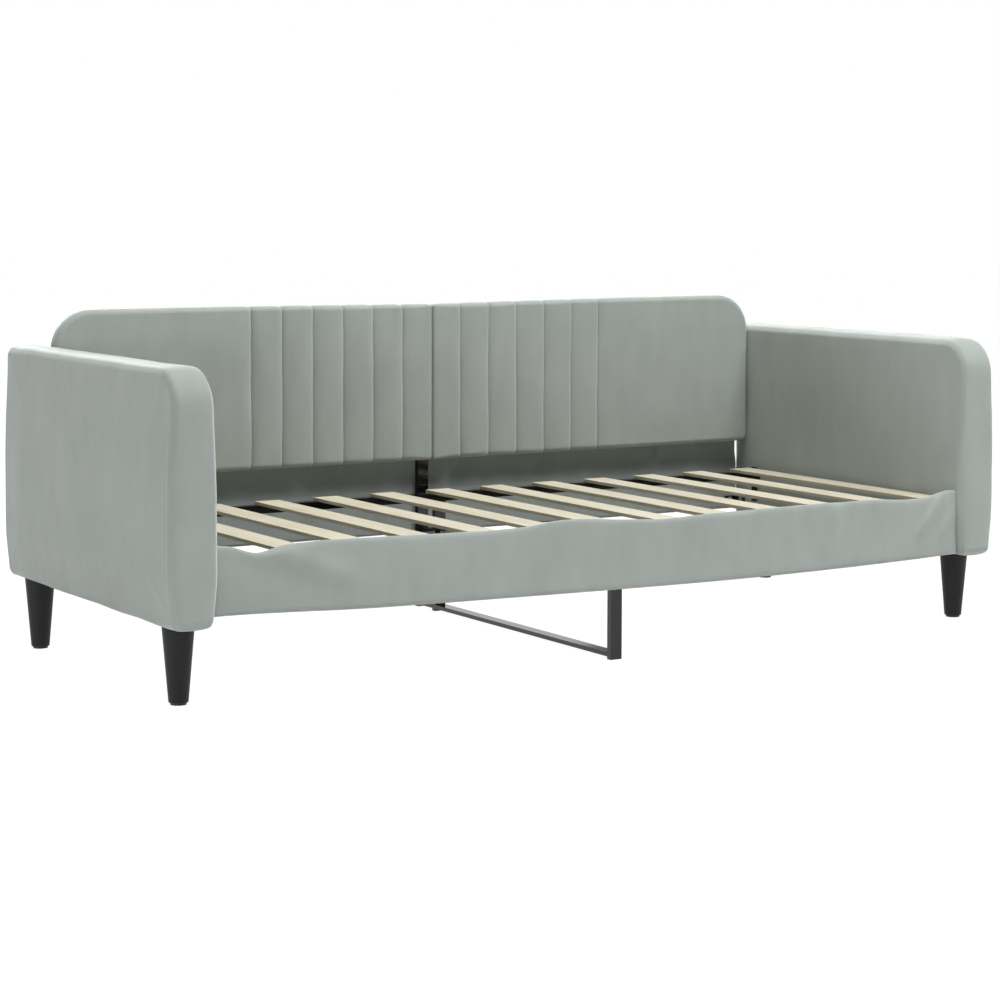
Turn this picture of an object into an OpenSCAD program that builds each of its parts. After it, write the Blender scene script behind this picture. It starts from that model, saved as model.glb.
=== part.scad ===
// Upholstered daybed with a slatted deck, a steel centre frame and four tapered legs.
// Millimetres. X runs along the bed, Y from the front to the back, Z up from the floor.

/* [Mattress] */
// Length of the mattress that the bed takes
mattress_len = 2000; // [1900:10:2050]
// Width of the mattress, which is also the length of a slat
mattress_w = 800; // [780:5:810]
// Spare length between the arms beside the mattress
end_room = 30; // [20:2:50]

/* [Arms] */
// Depth of an arm, front to back
arm_depth = 940; // [936:2:960]
// Thickness of an arm
arm_t = 93; // [86:1:110]
// Height of the top of the arms
arm_top = 700; // [680:5:760]
// Radius of the upper front corner of an arm
arm_corner_r = 85; // [60:5:110]
// Thickness of the padding on the two sides of an arm
arm_pad = 16; // [12:1:18]

/* [Backrest] */
// Height of the lower edge of the backrest
back_bottom = 380; // [370:5:400]
// Height of the upper edge of the backrest
back_top = 782; // [776:2:820]
// Thickness of the upholstered backrest
back_t = 37; // [34:1:42]
// Radius of the upper outer corners of the backrest
back_corner_r = 95; // [60:5:120]
// Sewn channels on each side of the centre joint
channel_count = 6; // [3:1:9]
// Width of a sewn channel
channel_w = 85; // [70:1:95]

/* [Rails] */
// Thickness of the upholstered front rail
front_rail_t = 14; // [12:1:18]
// Height of the upper edge of the front rail
front_rail_top = 322; // [318:1:334]
// Distance of the front rail behind the front of the arms
rail_setback = 22; // [16:1:28]
// Thickness of the upholstered back rail
back_rail_t = 15; // [13:1:18]
// Height of the lower edge of the back rail
back_rail_bottom = 187; // [180:1:199]
// Height of the upper edge of the back rail
back_rail_top = 420; // [400:5:435]
// Open gap between each end of the back rail and the arm
back_rail_gap = 8; // [4:1:14]

/* [Slats] */
// Number of slats
slat_count = 13; // [13:1:13]
// Distance from one slat to the next
slat_pitch = 160; // [140:2:162]
// Width of a slat
slat_w = 66; // [50:1:80]
// Thickness of a slat
slat_t = 8; // [8:1:12]
// Height of the upper face of the slats
slat_top = 309; // [306:1:312]

/* [Steel frame] */
// Wide side of the post tube
tube_w = 30; // [28:1:36]
// Narrow side of the post tube
tube_d = 15; // [14:1:18]
// Height of the slat bars
bar_h = 20; // [18:1:22]
// Depth of the slat bars
bar_d = 25; // [22:1:28]
// Wall of all the steel tubes
wall = 1.5; // [1.2:0.1:2]
// Thickness of the steel plate in the brackets
plate_t = 3; // [2:0.5:3]

/* [Legs] */
// Height of the legs with their glides
leg_h = 165; // [155:1:170]
// Diameter of a leg at its top
leg_top_d = 69; // [60:1:76]
// Diameter of a leg at its foot
leg_foot_d = 42; // [38:1:50]
// Distance from the front and back of an arm to the middle of a leg
leg_inset = 88; // [80:2:100]

/* [Hidden] */
$fn = 96;

// Colours
velvet_colour = [0.60, 0.65, 0.61];
timber_colour = [0.86, 0.80, 0.68];
board_colour = [0.72, 0.58, 0.40];
steel_colour = [0.14, 0.15, 0.15];
zinc_colour = [0.62, 0.64, 0.66];
leg_colour = [0.11, 0.11, 0.12];
plastic_colour = [0.08, 0.08, 0.08];

LEFT = -1;
RIGHT = 1;
FRONT = -1;
BACK = 1;
// Overlap of a cutter beyond the face that it cuts
cut = 1;

// Main planes
inner_x = (mattress_len + end_room) / 2;
front_y = -arm_depth / 2;
back_y = arm_depth / 2;
arm_bottom = leg_h;

// Front rail, from its front face to the inside
rail_front_y = front_y + rail_setback;
rail_in_y = rail_front_y + front_rail_t;

// Slats and the two bars that carry them
slat_gap = 4;
slat_front_y = rail_in_y + slat_gap;
slat_back_y = slat_front_y + mattress_w;
slat_bottom = slat_top - slat_t;
bar_bottom = slat_bottom - bar_h;
front_bar_y = rail_in_y;
rear_bar_y = slat_back_y - bar_d;

// Back rail, back post and backrest, from the back to the front
back_rail_in_y = back_y - back_rail_t;
back_post_y = back_rail_in_y - tube_d;
back_front_y = back_post_y - back_t;
back_rail_x = inner_x - back_rail_gap;
back_end_gap = 3;
back_end_x = inner_x - back_end_gap;
back_joint_gap = 0.5;

// Arm frame
arm_front_pad = 24;
arm_rear_pad = 12;
arm_top_pad = 16;
arm_edge_r = 20;
arm_rear_r = 10;
frame_t = arm_t - 2 * arm_pad;
frame_front_y = front_y + arm_front_pad;
frame_back_y = back_y - arm_rear_pad;
frame_top = arm_top - arm_top_pad;
frame_corner_r = arm_corner_r - arm_top_pad;
// The batten corner is rounder than its pocket, so the two curves never touch
frame_corner_relief = 3;
end_post_w = 110;
mid_post_w = 45;
mid_posts = 3;
bottom_rail_h = 60;
top_rail_h = 45;
bay_w = (frame_back_y - frame_front_y - 2 * end_post_w - mid_posts * mid_post_w) / (mid_posts + 1);

// Boards inside the upholstery
rail_skin = 2.5;
rail_hem = 25;
rail_top_pad = 16;
rail_end_pad = 10;
back_rail_hem = 5;
front_board_x = inner_x - rail_end_pad;
back_rail_board_x = back_rail_x - rail_end_pad;
back_board_t = 12;
back_skin = 5;
back_board_inset = 12;
back_board_y = back_post_y - back_skin - back_board_t;

// Seams of the channels
seam_w = 6;
seam_edge_r = 6;

// Fasteners
bolt_r = 3;
bolt_hole_r = 3.2;
bolt_head_r = 5.5;
bolt_head_h = 3.5;
arm_bolt_len = 45;
// How far the bolts and screws go into the boards
rail_bite = 7;
back_bite = 8;
screw_bite = 6;
rail_bolt_len = plate_t + rail_skin + rail_bite;
back_bolt_len = plate_t + back_skin + back_bite;
post_rail_bolt_len = tube_d + rail_skin + rail_bite;
post_back_bolt_len = tube_d + back_skin + back_bite;
bar_screw_len = bar_d + rail_skin + screw_bite;
stud_r = 4;
stud_low = 40;
stud_high = 30;
insert_r = 6;
insert_h = 18;
leg_hole_h = 50;
peg_r = 3;
peg_low = 5;
peg_high = 5;
fit = 0.1;

// Rail brackets: the front pair and the back pair stand at their own heights
bracket_leg = 40;
bracket_h = 30;
bracket_hole = 25;
bracket_hole_z = 8;
front_bracket_z = 205;
rear_bracket_z = back_rail_bottom + 6;

// Backrest brackets and tie plate
back_bracket_z = 450;
back_bracket_h = 110;
back_bracket_arm = 28;
back_bracket_leg = 60;
back_bracket_hole_y = 10;
back_bracket_hole_x = 40;
back_bracket_hole_z = 25;
back_bracket_holes_z = hole_pair(back_bracket_z, back_bracket_h, back_bracket_hole_z);
tie_w = 100;
tie_h = 60;
tie_z = 640;
tie_hole_edge = 15;
tie_holes_x = hole_pair(-tie_w / 2, tie_w, tie_hole_edge);
tie_holes_z = hole_pair(tie_z, tie_h, tie_hole_edge);

// Bar brackets
bar_bracket_drop = 65;
bar_bracket_shelf = 30;
bar_bracket_w = 22;
bar_bracket_y = slat_back_y - 10;
bar_bracket_hole_edge = 20;
bar_bracket_low = bar_bottom - bar_bracket_drop;
bar_bracket_holes_z = hole_pair(bar_bracket_low, bar_bracket_drop, bar_bracket_hole_edge);
bar_mid = bar_d / 2;

// Steel centre frame
plug_lip = 2;
plug_depth = 12;
front_post_top = bar_bottom;
upright_inset = 2;
upright_y = slat_back_y - tube_d - upright_inset;
back_post_top = 620;
floor_bar_z = 6;
floor_bar_h = 10;
cross_bar_z = 177;
cross_bar_h = 30;
front_post_holes_z = [225, 260];
back_post_rail_holes_z = [230, 300];
back_post_back_holes_z = [460, 590];
back_post_hole_x = 8;

// Legs
leg_x = inner_x + arm_t / 2;
leg_edge_r = 2;
glide_r = 17;
glide_h = 4;
nail_r = 1.5;
nail_h = 14;

// Everything is drawn for the right-hand side and mirrored for the left-hand side
module on_side(side) {
    if (side < 0) {
        mirror([1, 0, 0]) children();
    } else {
        children();
    }
}

module block(x0, x1, y0, y1, z0, z1) {
    translate([x0, y0, z0]) cube([x1 - x0, y1 - y0, z1 - z0]);
}

// Waste outside a quarter circle about the origin, towards +x and +y
module corner_waste(r) {
    difference() {
        square(r + cut);
        circle(r);
    }
}

// Rectangle whose four corners have their own radii:
// low left, low right, high right, high left
module panel(x0, x1, y0, y1, radii) {
    difference() {
        translate([x0, y0]) square([x1 - x0, y1 - y0]);
        translate([x0 + radii[0], y0 + radii[0]]) rotate(180) corner_waste(radii[0]);
        translate([x1 - radii[1], y0 + radii[1]]) rotate(270) corner_waste(radii[1]);
        translate([x1 - radii[2], y1 - radii[2]]) corner_waste(radii[2]);
        translate([x0 + radii[3], y1 - radii[3]]) rotate(90) corner_waste(radii[3]);
    }
}

// Plate whose outline lies in the Y-Z plane, thickened along +X from x
module side_plate(x, t) {
    translate([x, 0, 0]) rotate([90, 0, 90]) linear_extrude(t) children();
}

// Plate whose outline lies in the X-Z plane, thickened along +Y from y
module front_plate(y, t) {
    translate([0, y + t, 0]) rotate([90, 0, 0]) linear_extrude(t) children();
}

// Rods and bolts that point along one axis, with the base at the given point
module rod_x(x, y, z, r, len) {
    translate([x, y, z]) rotate([0, 90, 0]) cylinder(r = r, h = len);
}

module rod_y(x, y, z, r, len) {
    translate([x, y, z]) rotate([-90, 0, 0]) cylinder(r = r, h = len);
}

module rod_z(x, y, z, r, len) {
    translate([x, y, z]) cylinder(r = r, h = len);
}

module bolt_x(x, y, z, len) {
    rod_x(x, y, z, bolt_r, len);
    rod_x(x - bolt_head_h, y, z, bolt_head_r, bolt_head_h);
}

// A bolt along Y; dir is +1 where the shank points to the back and -1 to the front
module bolt_y(x, y, z, len, dir) {
    rod_y(x, dir > 0 ? y : y - len, z, bolt_r, len);
    rod_y(x, dir > 0 ? y - bolt_head_h : y, z, bolt_head_r, bolt_head_h);
}

// Two holes at the same distance from each end of a plate that starts at low
function hole_pair(low, len, edge) = [low + edge, low + len - edge];

// Heights of a corner bracket and of its holes; end is FRONT or BACK
function corner_z(end) = end == FRONT ? front_bracket_z : rear_bracket_z;
function corner_holes_z(end) = hole_pair(corner_z(end), bracket_h, bracket_hole_z);

// Places of the bolts that go into an arm, as [y, z], and into the rails and the backrest, as [x, z]
arm_bolt_points = [
    for (z = corner_holes_z(FRONT)) [rail_in_y + bracket_hole, z],
    for (z = corner_holes_z(BACK)) [back_rail_in_y - bracket_hole, z],
    for (z = bar_bracket_holes_z) [bar_bracket_y + bar_bracket_w / 2, z],
    for (z = back_bracket_holes_z) [back_post_y + back_bracket_hole_y, z]
];
function corner_bolt_points(end) = [
    for (s = [LEFT, RIGHT], z = corner_holes_z(end)) [s * (inner_x - bracket_hole), z]
];
back_end_points = [for (z = back_bracket_holes_z) [inner_x - back_bracket_hole_x, z]];

// The screws of the front slat bar, spaced to miss the slats' pegs
bar_screw_count = 6;
bar_screw_pitch = 2 * slat_pitch;
bar_screw_shift = slat_pitch / 4;
bar_screw_xs = [
    for (i = [0:bar_screw_count - 1]) (i - (bar_screw_count - 1) / 2) * bar_screw_pitch + bar_screw_shift
];

// Arms
module arm_outline() {
    panel(front_y, back_y, arm_bottom, arm_top, [arm_edge_r, arm_rear_r, arm_edge_r, arm_corner_r]);
}

module frame_outline(corner_r) {
    panel(frame_front_y, frame_back_y, arm_bottom, frame_top, [0, 0, 0, corner_r]);
}

module arm_bolt_holes() {
    for (p = arm_bolt_points) {
        rod_x(inner_x - cut, p[0], p[1], bolt_hole_r, arm_bolt_len);
    }
}

module leg_holes() {
    for (y = [front_y + leg_inset, back_y - leg_inset]) {
        rod_z(leg_x, y, arm_bottom - cut, insert_r + fit, leg_hole_h);
    }
}

module arm_frame(side) {
    color(timber_colour)
    on_side(side)
    difference() {
        side_plate(inner_x + arm_pad, frame_t)
            difference() {
                frame_outline(frame_corner_r + frame_corner_relief);
                for (i = [0:mid_posts]) {
                    translate([
                        frame_front_y + end_post_w + i * (bay_w + mid_post_w),
                        arm_bottom + bottom_rail_h
                    ])
                        square([bay_w, frame_top - arm_bottom - bottom_rail_h - top_rail_h]);
                }
            }
        arm_bolt_holes();
        leg_holes();
    }
}

module arm_cover(side) {
    color(velvet_colour)
    on_side(side)
    difference() {
        side_plate(inner_x, arm_t) arm_outline();
        side_plate(inner_x + arm_pad, frame_t)
            union() {
                frame_outline(frame_corner_r);
                translate([frame_front_y, arm_bottom - cut]) square([frame_back_y - frame_front_y, 2 * cut]);
            }
        arm_bolt_holes();
    }
}

module left_arm_frame() { arm_frame(LEFT); }
module right_arm_frame() { arm_frame(RIGHT); }
module left_arm_cover() { arm_cover(LEFT); }
module right_arm_cover() { arm_cover(RIGHT); }

// Backrest
module back_board_outline(joint_x) {
    panel(
        joint_x, back_end_x - back_board_inset,
        back_bottom + back_board_inset, back_top - back_board_inset,
        [0, seam_edge_r, back_corner_r - back_board_inset, 0]
    );
}

module back_holes() {
    for (p = back_end_points) {
        rod_y(p[0], back_post_y - back_bolt_len, p[1], bolt_hole_r, back_bolt_len + cut);
    }
    for (x = tie_holes_x, z = tie_holes_z) {
        rod_y(x, back_post_y - back_bolt_len, z, bolt_hole_r, back_bolt_len + cut);
    }
    for (z = back_post_back_holes_z) {
        rod_y(back_post_hole_x, back_post_y - back_bolt_len, z, bolt_hole_r, back_bolt_len + cut);
    }
}

module back_board(side) {
    color(board_colour)
    on_side(side)
    difference() {
        front_plate(back_board_y, back_board_t) back_board_outline(back_joint_gap);
        back_holes();
    }
}

// One V-shaped seam groove down the front of the backrest
module seam_groove(x) {
    translate([x, back_front_y, back_bottom - cut])
        rotate([0, 0, 45])
            translate([-seam_w / 2, -seam_w / 2, 0])
                cube([seam_w, seam_w, back_top - back_bottom + 2 * cut]);
}

module back_cushion(side) {
    color(velvet_colour)
    on_side(side)
    difference() {
        front_plate(back_front_y, back_t)
            panel(
                back_joint_gap, back_end_x, back_bottom, back_top,
                [seam_edge_r, arm_edge_r, back_corner_r, seam_edge_r]
            );
        front_plate(back_board_y, back_board_t) back_board_outline(back_joint_gap - cut);
        for (i = [1:channel_count]) {
            seam_groove(i * channel_w);
        }
        back_holes();
    }
}

module left_back_board() { back_board(LEFT); }
module right_back_board() { back_board(RIGHT); }
module left_back_cushion() { back_cushion(LEFT); }
module right_back_cushion() { back_cushion(RIGHT); }

module back_bracket(side) {
    color(steel_colour)
    on_side(side)
    difference() {
        union() {
            block(
                inner_x - plate_t, inner_x, back_post_y, back_post_y + back_bracket_arm,
                back_bracket_z, back_bracket_z + back_bracket_h
            );
            block(
                inner_x - back_bracket_leg, inner_x, back_post_y, back_post_y + plate_t,
                back_bracket_z, back_bracket_z + back_bracket_h
            );
        }
        for (z = back_bracket_holes_z) {
            rod_x(
                inner_x - plate_t - cut, back_post_y + back_bracket_hole_y, z,
                bolt_hole_r, plate_t + 2 * cut
            );
            rod_y(inner_x - back_bracket_hole_x, back_post_y - cut, z, bolt_hole_r, plate_t + 2 * cut);
        }
    }
}

module left_back_bracket() { back_bracket(LEFT); }
module right_back_bracket() { back_bracket(RIGHT); }

module back_tie_plate() {
    color(steel_colour)
    difference() {
        block(-tie_w / 2, tie_w / 2, back_post_y, back_post_y + plate_t, tie_z, tie_z + tie_h);
        for (x = tie_holes_x, z = tie_holes_z) {
            rod_y(x, back_post_y - cut, z, bolt_hole_r, plate_t + 2 * cut);
        }
    }
}

// Rails
module front_rail_holes() {
    for (p = corner_bolt_points(FRONT)) {
        rod_y(p[0], rail_in_y + plate_t - rail_bolt_len - cut, p[1], bolt_hole_r, rail_bolt_len);
    }
    for (z = front_post_holes_z) {
        rod_y(0, rail_in_y + plate_t - rail_bolt_len - cut, z, bolt_hole_r, rail_bolt_len);
    }
    for (x = bar_screw_xs) {
        rod_y(
            x, rail_in_y + plate_t - rail_bolt_len - cut, bar_bottom + bar_h / 2,
            bolt_hole_r, rail_bolt_len
        );
    }
}

module back_rail_holes() {
    for (p = corner_bolt_points(BACK)) {
        rod_y(p[0], back_rail_in_y - cut, p[1], bolt_hole_r, rail_bolt_len - plate_t + 2 * cut);
    }
    for (z = back_post_rail_holes_z) {
        rod_y(0, back_rail_in_y - cut, z, bolt_hole_r, rail_bolt_len - plate_t + 2 * cut);
    }
}

module front_rail_board() {
    color(board_colour)
    difference() {
        block(
            -front_board_x, front_board_x, rail_front_y + rail_skin, rail_in_y - rail_skin,
            arm_bottom + rail_hem, front_rail_top - rail_top_pad
        );
        front_rail_holes();
    }
}

module front_rail_cover() {
    color(velvet_colour)
    difference() {
        block(-inner_x, inner_x, rail_front_y, rail_in_y, arm_bottom, front_rail_top);
        block(
            -front_board_x, front_board_x, rail_front_y + rail_skin, rail_in_y - rail_skin,
            arm_bottom + rail_hem, front_rail_top - rail_top_pad
        );
        front_rail_holes();
    }
}

module back_rail_board() {
    color(board_colour)
    difference() {
        block(
            -back_rail_board_x, back_rail_board_x, back_rail_in_y + rail_skin, back_y - rail_skin,
            back_rail_bottom + back_rail_hem, back_rail_top - back_rail_hem
        );
        back_rail_holes();
    }
}

module back_rail_cover() {
    color(velvet_colour)
    difference() {
        block(-back_rail_x, back_rail_x, back_rail_in_y, back_y, back_rail_bottom, back_rail_top);
        block(
            -back_rail_board_x, back_rail_board_x, back_rail_in_y + rail_skin, back_y - rail_skin,
            back_rail_bottom + back_rail_hem, back_rail_top - back_rail_hem
        );
        back_rail_holes();
    }
}

// Angle bracket in a corner between a rail and an arm; end is FRONT or BACK
module rail_bracket(side, end) {
    rail_y = end < 0 ? rail_in_y : back_rail_in_y;
    inward = -end;
    leg_y = rail_y + inward * bracket_leg;
    skin_y = rail_y + inward * plate_t;
    color(steel_colour)
    on_side(side)
    difference() {
        union() {
            block(
                inner_x - plate_t, inner_x, min(rail_y, leg_y), max(rail_y, leg_y),
                corner_z(end), corner_z(end) + bracket_h
            );
            block(
                inner_x - bracket_leg, inner_x, min(rail_y, skin_y), max(rail_y, skin_y),
                corner_z(end), corner_z(end) + bracket_h
            );
        }
        for (z = corner_holes_z(end)) {
            rod_x(inner_x - plate_t - cut, rail_y + inward * bracket_hole, z, bolt_hole_r, plate_t + 2 * cut);
            rod_y(inner_x - bracket_hole, min(rail_y, skin_y) - cut, z, bolt_hole_r, plate_t + 2 * cut);
        }
    }
}

module front_left_bracket() { rail_bracket(LEFT, FRONT); }
module front_right_bracket() { rail_bracket(RIGHT, FRONT); }
module back_left_bracket() { rail_bracket(LEFT, BACK); }
module back_right_bracket() { rail_bracket(RIGHT, BACK); }

// Slats and their bars
function slat_x(i) = (i - (slat_count - 1) / 2) * slat_pitch;

module slat_bar(y, x_end) {
    difference() {
        block(-x_end, x_end, y, y + bar_d, bar_bottom, bar_bottom + bar_h);
        block(
            -x_end - cut, x_end + cut, y + wall, y + bar_d - wall,
            bar_bottom + wall, bar_bottom + bar_h - wall
        );
        for (i = [0:slat_count - 1]) {
            rod_z(slat_x(i), y + bar_mid, slat_bottom - peg_low, peg_r + fit, peg_low + cut);
        }
    }
}

module front_slat_bar() {
    color(steel_colour)
    difference() {
        slat_bar(front_bar_y, inner_x - bar_bracket_shelf / 2);
        for (x = bar_screw_xs) {
            rod_y(x, front_bar_y - cut, bar_bottom + bar_h / 2, bolt_hole_r, bar_d + 2 * cut);
        }
    }
}

module rear_slat_bar() {
    color(steel_colour)
    slat_bar(rear_bar_y, inner_x - plate_t);
}

module bar_bracket(side) {
    color(steel_colour)
    on_side(side)
    difference() {
        union() {
            block(
                inner_x - plate_t, inner_x, bar_bracket_y, bar_bracket_y + bar_bracket_w,
                bar_bracket_low, slat_top
            );
            block(
                inner_x - bar_bracket_shelf, inner_x, rear_bar_y, bar_bracket_y + bar_bracket_w,
                bar_bottom - plate_t, bar_bottom
            );
        }
        for (z = bar_bracket_holes_z) {
            rod_x(
                inner_x - plate_t - cut, bar_bracket_y + bar_bracket_w / 2, z,
                bolt_hole_r, plate_t + 2 * cut
            );
        }
    }
}

module left_bar_bracket() { bar_bracket(LEFT); }
module right_bar_bracket() { bar_bracket(RIGHT); }

module slat(i) {
    color(timber_colour)
    difference() {
        block(
            slat_x(i) - slat_w / 2, slat_x(i) + slat_w / 2,
            slat_front_y, slat_back_y, slat_bottom, slat_top
        );
        for (y = [front_bar_y + bar_mid, rear_bar_y + bar_mid]) {
            rod_z(slat_x(i), y, slat_bottom - cut, peg_r + fit, peg_high + cut);
        }
    }
}

module slat_pegs() {
    color(plastic_colour)
    for (i = [0:slat_count - 1], y = [front_bar_y + bar_mid, rear_bar_y + bar_mid]) {
        rod_z(slat_x(i), y, slat_bottom - peg_low, peg_r, peg_low + peg_high);
    }
}

// Steel centre frame
module post_tube(y, z1) {
    block(-tube_w / 2, tube_w / 2, y, y + tube_d, plug_lip, z1);
}

module post_hollow(y, z1) {
    block(
        -tube_w / 2 + wall, tube_w / 2 - wall, y + wall, y + tube_d - wall,
        plug_lip - cut, z1 - wall
    );
}

module centre_front_post() {
    color(steel_colour)
    difference() {
        post_tube(rail_in_y, front_post_top);
        post_hollow(rail_in_y, front_post_top);
        for (z = front_post_holes_z) {
            rod_y(0, rail_in_y - cut, z, bolt_hole_r, tube_d + 2 * cut);
        }
    }
}

module centre_rear_upright() {
    color(steel_colour)
    difference() {
        post_tube(upright_y, bar_bottom);
        post_hollow(upright_y, bar_bottom);
    }
}

module centre_back_post() {
    color(steel_colour)
    difference() {
        post_tube(back_post_y, back_post_top);
        post_hollow(back_post_y, back_post_top);
        for (z = back_post_rail_holes_z) {
            rod_y(0, back_post_y - cut, z, bolt_hole_r, tube_d + 2 * cut);
        }
        for (z = back_post_back_holes_z, x = [-back_post_hole_x, back_post_hole_x]) {
            rod_y(x, back_post_y - cut, z, bolt_hole_r, tube_d + 2 * cut);
        }
    }
}

// Tubes between the three posts, in two lengths each
module between_posts(w, z, h) {
    for (span = [[rail_in_y + tube_d, upright_y], [upright_y + tube_d, back_post_y]]) {
        difference() {
            block(-w / 2, w / 2, span[0], span[1], z, z + h);
            block(-w / 2 + wall, w / 2 - wall, span[0] - cut, span[1] + cut, z + wall, z + h - wall);
        }
    }
}

module centre_floor_bar() {
    color(steel_colour)
    between_posts(tube_w, floor_bar_z, floor_bar_h);
}

module centre_cross_bar() {
    color(steel_colour)
    between_posts(tube_d, cross_bar_z, cross_bar_h);
}

module centre_foot_plugs() {
    color(plastic_colour)
    for (y = [rail_in_y, upright_y, back_post_y]) {
        block(-tube_w / 2, tube_w / 2, y, y + tube_d, 0, plug_lip);
        block(
            -tube_w / 2 + wall + fit, tube_w / 2 - wall - fit,
            y + wall + fit, y + tube_d - wall - fit, plug_lip, plug_lip + plug_depth
        );
    }
}

// Legs
module leg(side, y) {
    color(leg_colour)
    on_side(side)
    translate([leg_x, y, 0])
        rotate_extrude()
            difference() {
                polygon([
                    [0, glide_h],
                    [leg_foot_d / 2 - leg_edge_r, glide_h],
                    [leg_foot_d / 2, glide_h + leg_edge_r],
                    [leg_top_d / 2, leg_h],
                    [0, leg_h]
                ]);
                translate([-cut, leg_h - stud_low]) square([stud_r + fit + cut, stud_low + cut]);
                translate([-cut, glide_h - cut]) square([nail_r + fit + cut, nail_h + 2 * cut]);
            }
}

module front_left_leg() { leg(LEFT, front_y + leg_inset); }
module front_right_leg() { leg(RIGHT, front_y + leg_inset); }
module back_left_leg() { leg(LEFT, back_y - leg_inset); }
module back_right_leg() { leg(RIGHT, back_y - leg_inset); }

module at_each_leg() {
    for (side = [LEFT, RIGHT], y = [front_y + leg_inset, back_y - leg_inset]) {
        translate([side * leg_x, y, 0]) children();
    }
}

module leg_studs() {
    color(zinc_colour)
    at_each_leg()
        rod_z(0, 0, leg_h - stud_low, stud_r, stud_low + stud_high);
}

module leg_inserts() {
    color(zinc_colour)
    at_each_leg()
        difference() {
            rod_z(0, 0, leg_h, insert_r, insert_h);
            rod_z(0, 0, leg_h - cut, stud_r + fit, insert_h + 2 * cut);
        }
}

module leg_glides() {
    color(plastic_colour)
    at_each_leg() {
        rod_z(0, 0, 0, glide_r, glide_h);
        rod_z(0, 0, glide_h, nail_r, nail_h);
    }
}

// Fasteners
module arm_bolts() {
    color(zinc_colour)
    for (side = [LEFT, RIGHT], p = arm_bolt_points) {
        on_side(side) bolt_x(inner_x - plate_t, p[0], p[1], arm_bolt_len);
    }
}

module rail_bolts() {
    color(zinc_colour)
    for (p = corner_bolt_points(FRONT)) {
        bolt_y(p[0], rail_in_y + plate_t, p[1], rail_bolt_len, FRONT);
    }
    for (p = corner_bolt_points(BACK)) {
        bolt_y(p[0], back_rail_in_y - plate_t, p[1], rail_bolt_len, BACK);
    }
}

module back_bolts() {
    color(zinc_colour) {
        for (side = [LEFT, RIGHT], p = back_end_points) {
            bolt_y(side * p[0], back_post_y + plate_t, p[1], back_bolt_len, FRONT);
        }
        for (x = tie_holes_x, z = tie_holes_z) {
            bolt_y(x, back_post_y + plate_t, z, back_bolt_len, FRONT);
        }
    }
}

module centre_bolts() {
    color(steel_colour) {
        for (z = front_post_holes_z) {
            bolt_y(0, rail_in_y + tube_d, z, post_rail_bolt_len, FRONT);
        }
        for (z = back_post_rail_holes_z) {
            bolt_y(0, back_post_y, z, post_rail_bolt_len, BACK);
        }
        for (z = back_post_back_holes_z, x = [-back_post_hole_x, back_post_hole_x]) {
            bolt_y(x, back_post_y + tube_d, z, post_back_bolt_len, FRONT);
        }
    }
}

module bar_screws() {
    color(zinc_colour)
    for (x = bar_screw_xs) {
        bolt_y(x, front_bar_y + bar_d, bar_bottom + bar_h / 2, bar_screw_len, FRONT);
    }
}

left_arm_frame();
right_arm_frame();
left_arm_cover();
right_arm_cover();
left_back_board();
right_back_board();
left_back_cushion();
right_back_cushion();
left_back_bracket();
right_back_bracket();
back_tie_plate();
front_rail_board();
front_rail_cover();
back_rail_board();
back_rail_cover();
front_left_bracket();
front_right_bracket();
back_left_bracket();
back_right_bracket();
front_slat_bar();
rear_slat_bar();
left_bar_bracket();
right_bar_bracket();
slat(0);  // slat_01
slat(1);  // slat_02
slat(2);  // slat_03
slat(3);  // slat_04
slat(4);  // slat_05
slat(5);  // slat_06
slat(6);  // slat_07
slat(7);  // slat_08
slat(8);  // slat_09
slat(9);  // slat_10
slat(10);  // slat_11
slat(11);  // slat_12
slat(12);  // slat_13
slat_pegs();
centre_front_post();
centre_rear_upright();
centre_back_post();
centre_floor_bar();
centre_cross_bar();
centre_foot_plugs();
front_left_leg();
front_right_leg();
back_left_leg();
back_right_leg();
leg_studs();
leg_inserts();
leg_glides();
arm_bolts();
rail_bolts();
back_bolts();
centre_bolts();
bar_screws();
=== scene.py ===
"""Daybed: velvet upholstery, slats, steel centre frame and tapered legs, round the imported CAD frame."""
import math

import bmesh
import bpy
import numpy as np
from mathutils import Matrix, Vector, noise


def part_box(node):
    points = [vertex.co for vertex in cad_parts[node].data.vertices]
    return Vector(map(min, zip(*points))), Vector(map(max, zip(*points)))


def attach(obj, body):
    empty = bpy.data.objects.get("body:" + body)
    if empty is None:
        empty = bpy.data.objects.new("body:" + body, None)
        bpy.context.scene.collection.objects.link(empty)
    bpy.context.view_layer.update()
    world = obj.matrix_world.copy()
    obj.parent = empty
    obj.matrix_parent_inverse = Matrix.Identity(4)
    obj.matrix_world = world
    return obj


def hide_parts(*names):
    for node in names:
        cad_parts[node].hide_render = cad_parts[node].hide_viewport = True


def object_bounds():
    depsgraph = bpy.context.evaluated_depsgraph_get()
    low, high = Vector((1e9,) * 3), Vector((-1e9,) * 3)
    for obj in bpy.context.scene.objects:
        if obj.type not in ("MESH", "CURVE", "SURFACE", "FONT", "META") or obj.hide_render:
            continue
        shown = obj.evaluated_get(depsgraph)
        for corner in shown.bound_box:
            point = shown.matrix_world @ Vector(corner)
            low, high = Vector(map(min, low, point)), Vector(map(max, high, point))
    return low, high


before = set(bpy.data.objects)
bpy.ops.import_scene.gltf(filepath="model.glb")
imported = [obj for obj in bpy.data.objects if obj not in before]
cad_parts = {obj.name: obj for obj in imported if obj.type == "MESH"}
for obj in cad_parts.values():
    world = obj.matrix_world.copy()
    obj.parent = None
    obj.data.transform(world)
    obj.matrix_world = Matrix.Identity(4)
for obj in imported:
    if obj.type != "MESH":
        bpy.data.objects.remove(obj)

CAD_LO, CAD_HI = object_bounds()
MM = 0.001
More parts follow.
